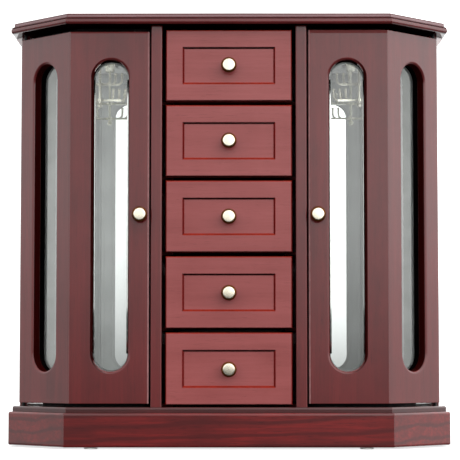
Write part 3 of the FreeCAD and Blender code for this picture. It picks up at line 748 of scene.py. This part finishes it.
def door_axes(side):
    """For each leaf of a door: plane axes, window centre and the ends of its lining.
    Its u runs outwards along the leaf, v is up and the height goes into the armoire."""
    sign = SIGN[side]
    low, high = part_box("door_front_leaf_" + side)
    front_y = low.y
    fold = max(abs(low.x), abs(high.x))
    lining_low, lining_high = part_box("door_lining_" + side)
    inner_edge = min(abs(lining_low.x), abs(lining_high.x))
    up = Vector((0, 0, 1))
    front = (Vector((0, front_y, 0)), Vector((sign, 0, 0)), up, Vector((0, 1, 0)))
    half = math.sqrt(0.5)
    corner = (Vector((sign * fold, front_y, 0)), Vector((sign * half, half, 0)), up,
              Vector((-sign * half, half, 0)))
    start = LINER_DEPTH * MITRE
    return [(front, FRONT_WINDOW, (inner_edge, fold - start - 0.2 * MM)),
            (corner, CORNER_WINDOW, (start + 0.4 * MM, CORNER_LINING_END))]


def window_rays(middle, span, z_span):
    """Rays from a window's middle line: (start, direction, distance to the panel's edge)."""
    low, high = WINDOW_LOW + WINDOW_R, WINDOW_HIGH - WINDOW_R
    rays = []
    for centre_z, edge_z, first in ((high, z_span[1], 0.0), (low, z_span[0], math.pi)):
        up = 1 if first == 0.0 else -1
        ends = [math.atan2(edge_z - centre_z, edge_u - middle) % (2 * math.pi) for edge_u in span]
        angles = sorted(set([first + math.pi * k / 24 for k in range(25)] + ends))
        for angle in angles:
            du, dv = math.cos(angle), math.sin(angle)
            reach = [((span[1] if du > 0 else span[0]) - middle) / du if abs(du) > 1e-6 else 9.0,
                     (edge_z - centre_z) / dv if abs(dv) > 1e-6 else 9.0]
            rays.append(((middle, centre_z), (du, dv), min(reach)))
        side = -1 if up == 1 else 1
        straight = [high + (low - high) * k / 12 for k in range(1, 12)]
        edge = (span[0] if side < 0 else span[1]) - middle
        for z in (straight if up == 1 else reversed(straight)):
            rays.append(((middle, z), (side, 0.0), abs(edge)))
    return rays


def along_rays(rays, axes, height, at):
    """One ring: a point on each ray at the distance at(reach)."""
    return [on_plane(axes, (start[0] + way[0] * at(reach), start[1] + way[1] * at(reach)), height)
            for start, way, reach in rays]


def door_velvet(side):
    """Velvet on the inside of a door: both leaves, with a turned edge round each window."""
    node = "door_lining_" + side
    low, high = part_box(node)
    thick, hole = DOOR_VELVET_T, WINDOW_R - GLASS_LAP
    all_verts, all_faces = [], []
    for axes, middle, span in door_axes(side):
        rays = window_rays(middle, span, (low.z, high.z))
        rings = [along_rays(rays, axes, LINER_DEPTH, lambda reach: reach)]
        for inward, share in PAD_EDGE + SEAM:
            rings.append(along_rays(rays, axes, LINER_DEPTH + share * thick,
                                    lambda reach: reach - inward * MM))
        for outward, share in reversed(PAD_EDGE + SEAM):
            rings.append(along_rays(rays, axes, LINER_DEPTH + share * thick,
                                    lambda reach: hole + outward * MM))
        rings.append(along_rays(rays, axes, LINER_DEPTH, lambda reach: hole))
        verts, faces = loft(rings, loop=True)
        faces = [tuple(i + len(all_verts) for i in face) for face in faces]
        all_verts, all_faces = all_verts + verts, all_faces + faces
    obj = new_piece("door_velvet_" + side, all_verts, all_faces, "door_" + side,
                    ("grey_velvet",))
    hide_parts(node)


# Section of a drawer's velvet in mm: (inwards from its outside, height).
LINING_FOOT = [(0.6, 0.0), (0.0, 0.6)]                                      # above its bottom
LINING_RIM = [(0.0, -0.6), (0.15, -0.15), (0.6, 0.0), (1.05, -0.15), (1.2, -0.6)]  # below its top
LINING_FLOOR = [(1.2, 4.0), (1.5, 2.4), (2.4, 1.5), (4.0, 1.2), (5.4, 1.15), (5.9, 0.75),
                (6.4, 1.2), (14.0, 1.5), (28.0, 1.7), (46.0, 1.8)]          # above its bottom


def drawer_velvet(number):
    """Velvet tray in a drawer: rolled rim, rounded inner corners and a crowned floor."""
    node = "drawer_lining_%d" % number
    low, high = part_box(node)
    corners = [(low.x, low.y), (high.x, low.y), (high.x, high.y), (low.x, high.y)]
    steps = [(inward, low.z + z * MM) for inward, z in LINING_FOOT]
    steps += [(inward, high.z + z * MM) for inward, z in LINING_RIM]
    steps += [(inward, low.z + z * MM) for inward, z in LINING_FLOOR]
    rings = []
    for inward, z in steps:
        ring = outline_points(inset(corners, inward * MM), 16, max(0.3, 2.2 - inward * 0.5) * MM)
        rings.append([Vector((p[0], p[1], z)) for p in ring])
    verts, faces = loft(rings, cap_start=True, cap_end=True)
    obj = new_piece("drawer_velvet_%d" % number, verts, faces, "drawer_%d" % number,
                    ("grey_velvet",))
    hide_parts(node)


def felt_feet():
    """Four felt discs with fluffy rounded rims under the plinth."""
    low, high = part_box("feet")
    groups = {}
    for vertex in nodes["feet"].data.vertices:
        key = (vertex.co.x > 0, vertex.co.y > (low.y + high.y) / 2)
        groups.setdefault(key, []).append(vertex.co)
    verts, faces = [], []
    for points in groups.values():
        centre = [(min(p[k] for p in points) + max(p[k] for p in points)) / 2 for k in (0, 1)]
        radius = (max(p.x for p in points) - min(p.x for p in points)) / 2
        profile = [(radius - 0.5 * MM, high.z), (radius - 0.1 * MM, high.z - 0.35 * MM),
                   (radius, 0.75 * MM), (radius - 0.1 * MM, 0.35 * MM), (radius - 0.6 * MM, 0.0),
                   (radius * 0.5, 0.0)]
        rings = turned(profile, (centre[0], centre[1], 0.0), "z", 40)
        disc_verts, disc_faces = loft(rings, cap_start=True, cap_end=True)
        faces += [tuple(i + len(verts) for i in face) for face in disc_faces]
        verts += disc_verts
    obj = new_piece("felt_feet", verts, faces, "cabinet", ("pale_felt",))
    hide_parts("feet")


for side in SIDES:
    wall_panels(side)
    floor_pad(side)
    door_velvet(side)
for number in DRAWERS:
    drawer_velvet(number)
felt_feet()


# ---------------------------------------------------------------- window beads, dust strips that also keep gaps in shade

BEAD_T, BEAD_SOFT, BEAD_GAP = 1.1 * MM, 0.2 * MM, 0.05 * MM
INNER_BEAD_W, OUTER_BEAD_W = 2.1 * MM, 0.9 * MM
BEAD_SPANS = 6


def glazing_beads(side):
    """Metal beads in front of a front pane, along the straight sides of its window."""
    front, back = GLASS_FRONT - BEAD_T, GLASS_FRONT - 0.02 * MM
    low, high = WINDOW_LOW + WINDOW_R, WINDOW_HIGH - WINDOW_R
    axes, middle, _ = door_axes(side)[0]
    inner, outer = middle - WINDOW_R + BEAD_GAP, middle + WINDOW_R - BEAD_GAP
    verts, faces = [], []
    for start, end in ((inner, inner + INNER_BEAD_W), (outer - OUTER_BEAD_W, outer)):
        section = [(start, back), (start, front + BEAD_SOFT), (start + BEAD_SOFT, front),
                   (end - BEAD_SOFT, front), (end, front + BEAD_SOFT), (end, back)]
        rings = [[on_plane(axes, (u, low + (high - low) * k / BEAD_SPANS), depth)
                  for u, depth in section] for k in range(BEAD_SPANS + 1)]
        bead_verts, bead_faces = loft(rings, cap_start=True, cap_end=True)
        faces += [tuple(i + len(verts) for i in face) for face in bead_faces]
        verts += bead_verts
    new_piece("glazing_beads_" + side, verts, faces, "door_" + side, ("bead_metal",))


STRIP_T = 1.1 * MM
STRIP_GAP = 1.25 * MM           # from a door's velvet base to the strip, more than its velvet
STRIP_SOFT = 0.3 * MM
TOP_LAP, BOTTOM_LAP, SIDE_LAP = 2.2 * MM, 2.0 * MM, 1.5 * MM    # over the door's lining
TOP_STRIP_END, BOTTOM_STRIP_END = 74 * MM, 57 * MM      # along the corner leaf from the fold


def strip(name, path, z_span, thick):
    """Felt strip of rounded section that follows a plan path, standing on z_span. It is
    black in front, which stands in for the shade in the gaps round the door, and has the
    grey of the compartment at its back."""
    rings = []
    low, high = z_span
    soft = STRIP_SOFT
    section = [(0.0, low + soft), (soft, low), (thick - soft, low), (thick, low + soft),
               (thick, high - soft), (thick - soft, high), (soft, high), (0.0, high - soft)]
    for k, here in enumerate(path):
        before = (here - path[k - 1]).normalized() if k else None
        after = (path[k + 1] - here).normalized() if k + 1 < len(path) else None
        way = ((before or after) + (after or before)).normalized()
        normal = Vector((-way.y, way.x))
        if normal.y < 0:
            normal.negate()
        lean = normal.dot(Vector((-(after or before).y, (after or before).x)))
        widen = 1 / max(abs(lean), 0.5)
        rings.append([Vector((here.x + normal.x * d * widen, here.y + normal.y * d * widen, z))
                      for d, z in section])
    verts, faces = loft(rings, cap_start=True, cap_end=True)
    material_of = [1 if k % len(section) in (2, 3, 4) else 0 for k in range(len(faces) - 2)]
    new_piece(name, verts, faces, "cabinet", ("felt", "grey_velvet"),
              material_of + [0, 0])


def dust_and_shade_strips(side):
    """Felt strips behind the closed door, above, below and beside it, that keep dust out and whose
    black fronts stand in for the shade in the gaps round the door.
    """
    lining_low, lining_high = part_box("door_lining_" + side)
    centre_low, centre_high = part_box("centre_wall_" + side)
    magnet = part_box("catch_magnets")
    wall_x = max(abs(centre_low.x), abs(centre_high.x))
    liner_edge = min(abs(lining_low.x), abs(lining_high.x))
    front, corner = door_axes(side)
    fold_u = front[2][1] - STRIP_GAP * MITRE
    magnet_end = magnet[1].x + 0.05 * MM

    def at(axes, u):
        point = on_plane(axes, (u, 0), LINER_DEPTH + STRIP_GAP)
        return Vector((point.x, point.y))

    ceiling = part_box("top_board")[0].z
    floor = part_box("bottom_board")[1].z
    fold = at(front[0], fold_u)
    route = [at(front[0], magnet_end), fold, at(corner[0], TOP_STRIP_END)]
    strip("dust_and_shade_strip_top_" + side, route, (lining_high.z - TOP_LAP, ceiling), STRIP_T)
    route = [at(front[0], wall_x + 0.2 * MM), fold, at(corner[0], BOTTOM_STRIP_END)]
    strip("dust_and_shade_strip_bottom_" + side, route, (floor, lining_low.z + BOTTOM_LAP), STRIP_T / 2)
    route = [at(front[0], wall_x), at(front[0], liner_edge + SIDE_LAP)]
    strip("dust_and_shade_strip_side_" + side, route, (floor + 0.2 * MM, ceiling - 0.2 * MM), STRIP_T / 2)


for side in SIDES:
    glazing_beads(side)
    dust_and_shade_strips(side)


# ---------------------------------------------------------------- stage, light and camera

FLOOR_RADIUS = 12.0


def disc_floor(radius, rings=24, segments=96):
    """Flat round stage floor."""
    profile = [(radius * (k + 1) / rings, 0.0) for k in range(rings)]
    verts, faces = loft(turned(profile, (0, 0, 0), "z", segments), cap_start=True)
    mesh = bpy.data.meshes.new("floor")
    mesh.from_pydata([tuple(v) for v in verts], [], faces)
    floor = bpy.data.objects.new("floor", mesh)
    bpy.context.scene.collection.objects.link(floor)
    return floor


def floor_material():
    """White floor that glows a little, so that it melts into the background."""
    g = Graph("studio_floor")
    cloud = g.noise(g.place(), 3.0, 2.0, 0.5)
    tone = g.mix(g.spread(cloud, 0.3, 0.7), (0.44, 0.44, 0.44), (0.46, 0.46, 0.46))
    rough = g.spread(cloud, 0.3, 0.7, 0.8, 0.9)
    return g.finish({"Base Color": tone, "Roughness": rough, "Specular IOR Level": 0.1,
                     "Emission Color": (1, 1, 1, 1), "Emission Strength": 0.7})


floor = disc_floor(FLOOR_RADIUS)
floor.data.materials.append(floor_material())
floor.visible_glossy = floor.visible_diffuse = False


def fill_ramp(ramp, stops):
    """Grey levels over -1..1, for a ramp that runs over 0..1."""
    while len(ramp.elements) > 1:
        ramp.elements.remove(ramp.elements[-1])
    ramp.elements[0].position = (stops[0][0] + 1) / 2
    ramp.elements[0].color = (stops[0][1],) * 3 + (1.0,)
    for at, level in stops[1:]:
        ramp.elements.new((at + 1) / 2).color = (level, level, level, 1.0)


WORLD_LEVEL = 2.9
BEHIND_LEVEL = 0.5              # of WORLD_LEVEL, as are the levels below
# (direction's share of the axis, level)
BY_HEIGHT = [(-1.0, 0.05), (-0.06, 0.06), (-0.02, 0.12), (0.0, 0.30), (0.04, 0.62),
             (0.08, 0.84), (0.30, 0.80), (0.60, 0.74), (1.0, 0.74)]
BY_SIDE = [(-1.0, 0.62), (-0.07, 0.64), (-0.04, 0.50), (0.0, 0.58), (0.04, 0.88), (0.08, 1.0),
           (0.3, 1.0), (1.0, 1.0)]
FLANKS = [(-1.0, 0.32), (-0.8, 0.30), (-0.5, 0.0), (0.5, 0.0), (0.8, 0.42), (1.0, 0.45)]


def studio_world():
    """Soft white room, brighter on the right, dark below in front, lit flanks and back."""
    world = bpy.data.worlds.new("studio")
    bpy.context.scene.world = world
    world.use_nodes = True
    tree = world.node_tree
    tree.nodes.clear()

    def node(kind, inputs=None, **settings):
        made = tree.nodes.new("ShaderNode" + kind)
        for key, value in settings.items():
            setattr(made, key, value)
        for key, value in (inputs or {}).items():
            if isinstance(value, bpy.types.NodeSocket):
                tree.links.new(value, made.inputs[key])
            else:
                made.inputs[key].default_value = value
        return made

    def between(value, low, high, top=1.0):
        return node("MapRange", {"Value": value, "From Min": low, "From Max": high,
                                 "To Max": top}).outputs["Result"]

    def levels(value, stops):
        made = node("ValToRGB", {0: between(value, -1.0, 1.0)})
        fill_ramp(made.color_ramp, stops)
        return made.outputs["Color"]

    def combine(operation, a, b):
        return node("Math", {0: a, 1: b}, operation=operation).outputs[0]

    direction = node("SeparateXYZ", {0: node("TexCoord").outputs["Generated"]})
    across, deep, up = (direction.outputs[axis] for axis in "XYZ")
    front = combine("MULTIPLY", levels(up, BY_HEIGHT), levels(across, BY_SIDE))
    behind = between(deep, 0.3, 0.6, BEHIND_LEVEL)
    above_floor = between(up, -0.2, -0.05)
    flanks = combine("MULTIPLY", levels(across, FLANKS), above_floor)
    level = combine("MAXIMUM", combine("MAXIMUM", front, behind), flanks)
    background = node("Background", {"Color": (1, 1, 1, 1),
                                     "Strength": combine("MULTIPLY", level, WORLD_LEVEL)})
    output = node("OutputWorld")
    tree.links.new(background.outputs[0], output.inputs["Surface"])


studio_world()


def compartment_light(name, centre, size, facing, power):
    """Soft lamp inside a compartment, facing 1 to the back or -1 to the front; it is not
    seen itself."""
    lamp = bpy.data.lights.new(name, "AREA")
    lamp.shape = "RECTANGLE"
    lamp.size, lamp.size_y = size
    lamp.energy = power
    obj = bpy.data.objects.new(name, lamp)
    obj.location = centre
    obj.rotation_euler = Euler((facing * math.pi / 2, 0, 0))
    obj.visible_camera = obj.visible_glossy = obj.visible_transmission = False
    bpy.context.scene.collection.objects.link(obj)


LINING_POWER = {"left": 0.30, "right": 0.125}
BORDER_POWER, TOP_POWER = 0.23, 0.05
LAMP_GAP = 3 * MM               # in front of the mirror
BORDER_X, BORDER_WIDTH, BORDER_REACH = 160 * MM, 30 * MM, 90 * MM


def light_compartment(side):
    """Lamps before the mirror that light the door's lining and the ceiling, and one that
    lights the velvet border of the mirror."""
    low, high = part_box("mirror_" + side)
    middle_x, middle_z = (low.x + high.x) / 2, (low.z + high.z) / 2
    wide, tall = (high.x - low.x) * 0.9, (high.z - low.z) * 0.95
    lamp_y = low.y - LAMP_GAP
    compartment_light("lining_lamp_" + side, (middle_x, lamp_y, middle_z), (wide, tall), -1,
                      LINING_POWER[side])
    compartment_light("top_lamp_" + side, (middle_x, lamp_y, high.z - 30 * MM),
                      (wide, 50 * MM), -1, TOP_POWER)
    border = (SIGN[side] * BORDER_X, low.y - BORDER_REACH, middle_z)
    compartment_light("border_lamp_" + side, border, (BORDER_WIDTH, tall), 1, BORDER_POWER)


for side in SIDES:
    light_compartment(side)

CAMERA_PLACE = (0.0112, -1.7724, 0.0786)
CAMERA_TILT, CAMERA_TURN = 0.0675, 0.006        # radians up and to the left
camera = bpy.data.objects.new("camera", bpy.data.cameras.new("camera"))
camera.data.lens = 150.0
camera.data.sensor_width = 36.0
camera.location = CAMERA_PLACE
camera.rotation_euler = Euler((math.pi / 2 + CAMERA_TILT, 0, CAMERA_TURN))
bpy.context.scene.collection.objects.link(camera)
bpy.context.scene.camera = camera
bpy.context.scene.view_settings.view_transform = "Standard"
